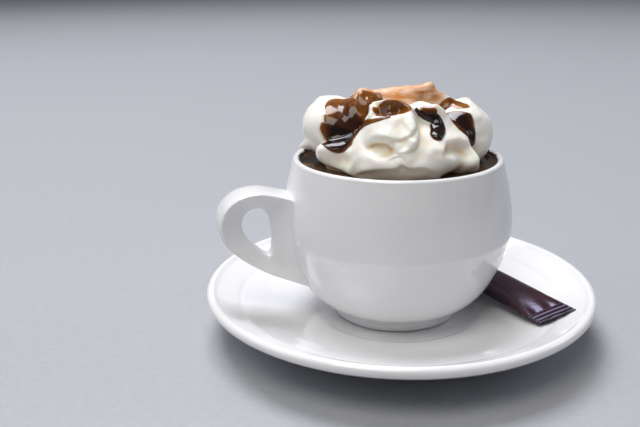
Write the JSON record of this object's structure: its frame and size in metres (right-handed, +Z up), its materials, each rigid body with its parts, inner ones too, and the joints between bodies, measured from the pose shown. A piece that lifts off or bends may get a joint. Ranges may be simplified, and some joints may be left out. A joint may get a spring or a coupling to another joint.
{
  "type": "hot chocolate",
  "caption": "Hot chocolate topped with whipped cream and chocolate sauce in a white porcelain cup with an ear handle, on its saucer with a wrapped chocolate stick.",
  "frame": {"origin": "middle of the saucer's foot ring, on the surface that it stands on", "axes": "+Z up; the cup's handle points along -X; the wrapped stick lies on the +X side"},
  "size_m": [0.16, 0.16, 0.1018],
  "materials": {
    "porcelain": "white glazed porcelain, opaque and glossy",
    "hot_chocolate": "dark drinking chocolate and chocolate sauce, wet and glossy",
    "whipped_cream": "soft whipped cream, satin, with chocolate sauce on its top",
    "brown_film": "dark brown metallised wrapper film, glossy"
  },
  "bodies": {
    "root": {"saucer": "porcelain", "cup": "porcelain", "drink": "hot_chocolate", "whipped_cream": "whipped_cream", "wrapped_stick": "brown_film"}
  },
  "joints": []
}
